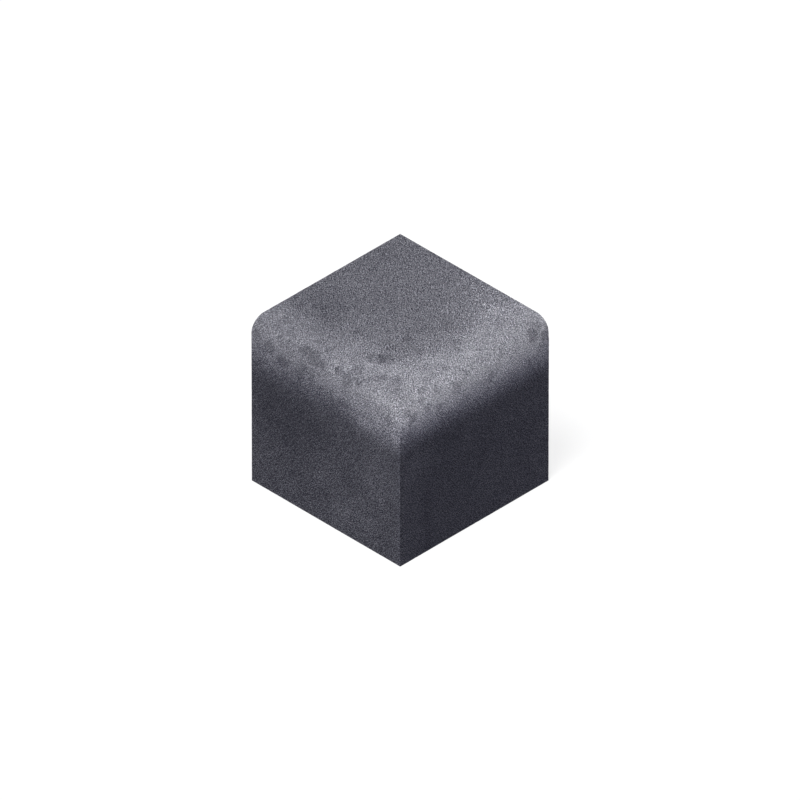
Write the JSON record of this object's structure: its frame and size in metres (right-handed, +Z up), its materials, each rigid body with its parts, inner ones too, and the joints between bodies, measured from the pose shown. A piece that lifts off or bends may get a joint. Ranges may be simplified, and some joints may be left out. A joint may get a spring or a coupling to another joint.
{
  "type": "bullnose paver",
  "caption": "Near-cubic precast concrete paver with a bullnose along two adjacent top edges, mitred at the corner, for the outer corner of a step, kerb or coping.",
  "frame": {"origin": "centre of the flat bed face, which lies on the ground", "axes": "+Z up to the tread, -Y towards the front nosed face, +X towards the right nosed face; the two plain joint faces are -X and +Y"},
  "size_m": [0.1, 0.1, 0.094],
  "materials": {
    "concrete": "fine sandy charcoal concrete, worn paler along the noses"
  },
  "bodies": {
    "root": {"paver": "concrete"}
  },
  "joints": []
}
